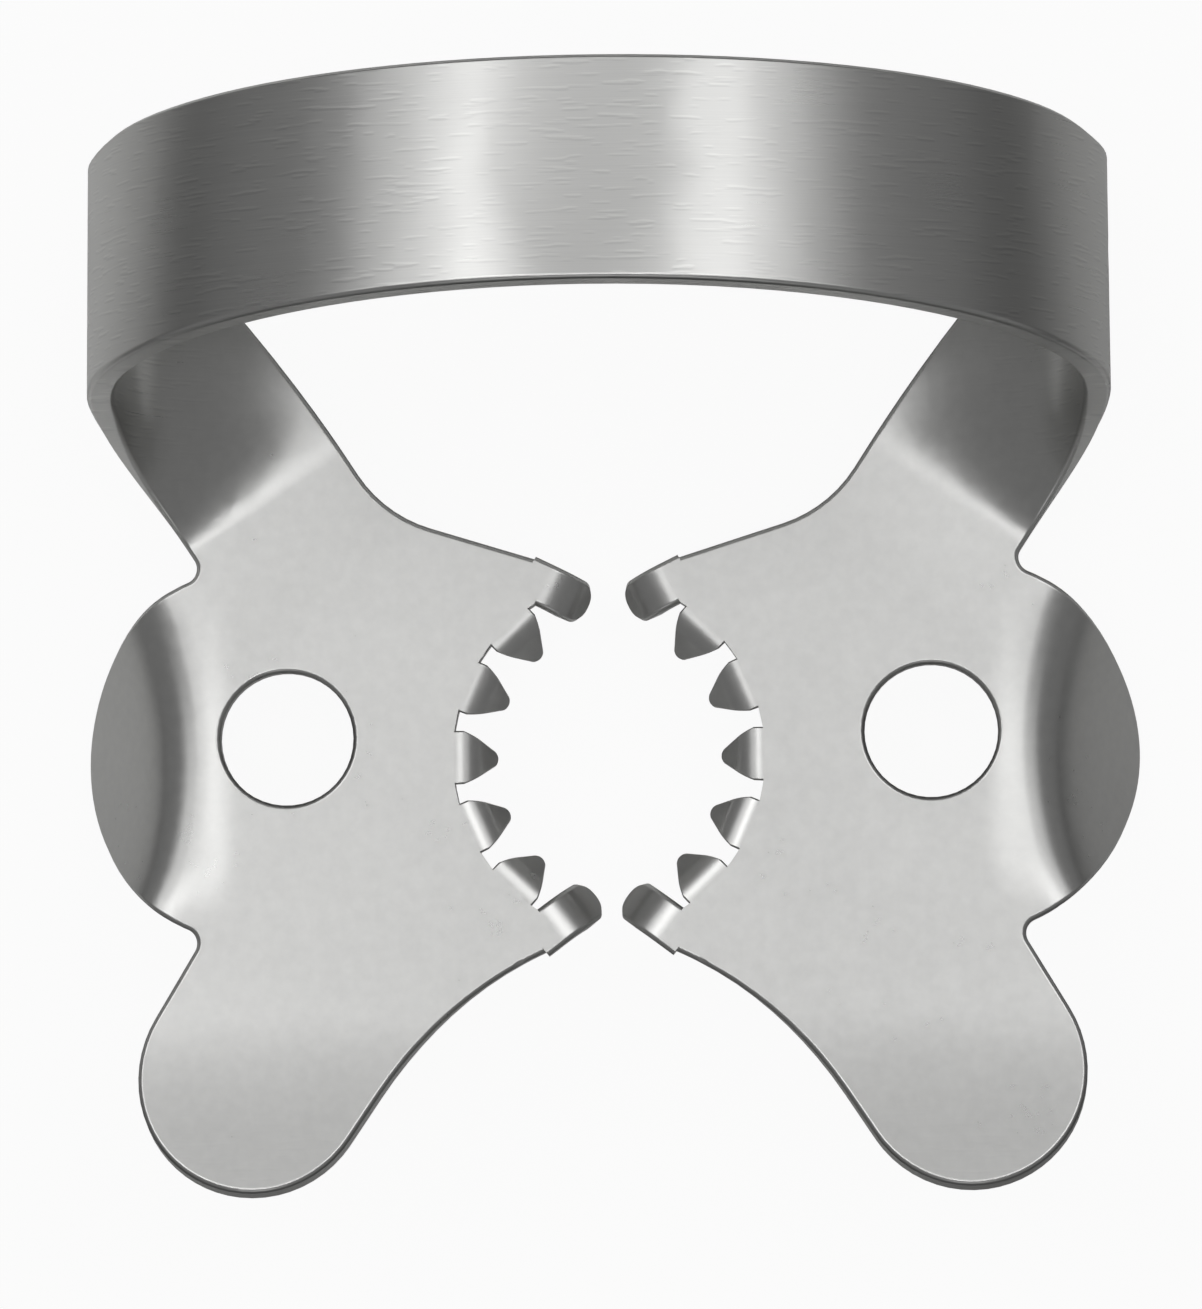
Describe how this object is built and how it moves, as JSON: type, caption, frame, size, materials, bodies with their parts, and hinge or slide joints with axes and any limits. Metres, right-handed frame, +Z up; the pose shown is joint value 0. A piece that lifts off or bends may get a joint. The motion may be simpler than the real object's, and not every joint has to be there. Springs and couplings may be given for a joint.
{
  "type": "rubber dam clamp",
  "caption": "One-piece sprung steel clamp: two serrated, winged jaws with forceps holes, joined by an arched bow, for holding a rubber sheet at a tooth.",
  "frame": {"origin": "centre of the bottom of the clamp's bounding box, on the surface that it lies on", "axes": "+X from the left jaw to the right jaw, +Y from the front wings towards the bow, +Z up"},
  "size_m": [0.028, 0.0306, 0.0134],
  "materials": {
    "spring_steel": "satin stainless spring steel, brushed along the bow, with tumbled edges"
  },
  "bodies": {
    "root": {"clamp": "spring_steel"}
  },
  "joints": []
}
